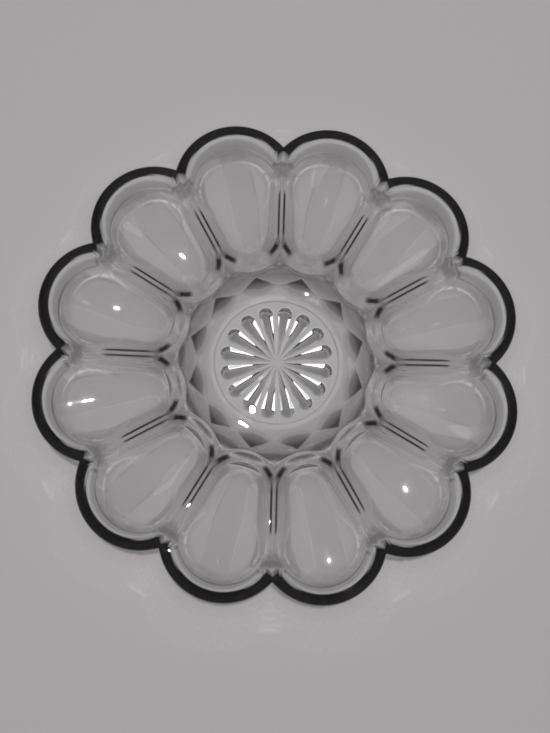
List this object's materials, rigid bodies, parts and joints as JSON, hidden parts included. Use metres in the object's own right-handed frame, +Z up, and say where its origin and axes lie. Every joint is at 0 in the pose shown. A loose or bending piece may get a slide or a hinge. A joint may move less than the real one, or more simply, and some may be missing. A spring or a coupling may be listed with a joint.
{
  "type": "deviled egg platter",
  "caption": "Round clear glass platter with a scalloped rim, a ring of oval egg hollows and a star-shaped centre dish with a pressed starburst under it.",
  "frame": {"origin": "middle of the foot, on the surface that the platter stands on", "axes": "+Z up through the middle of the dish; +X along a divider between two egg hollows"},
  "size_m": [0.2476, 0.2476, 0.024],
  "materials": {
    "clear_glass": "clear pressed glass, fire polished, with a faint grey-green edge"
  },
  "bodies": {
    "root": {"centre_dish": "clear_glass", "egg_well_01": "clear_glass", "egg_well_02": "clear_glass", "egg_well_03": "clear_glass", "egg_well_04": "clear_glass", "egg_well_05": "clear_glass", "egg_well_06": "clear_glass", "egg_well_07": "clear_glass", "egg_well_08": "clear_glass", "egg_well_09": "clear_glass", "egg_well_10": "clear_glass", "egg_well_11": "clear_glass", "egg_well_12": "clear_glass"}
  },
  "joints": []
}
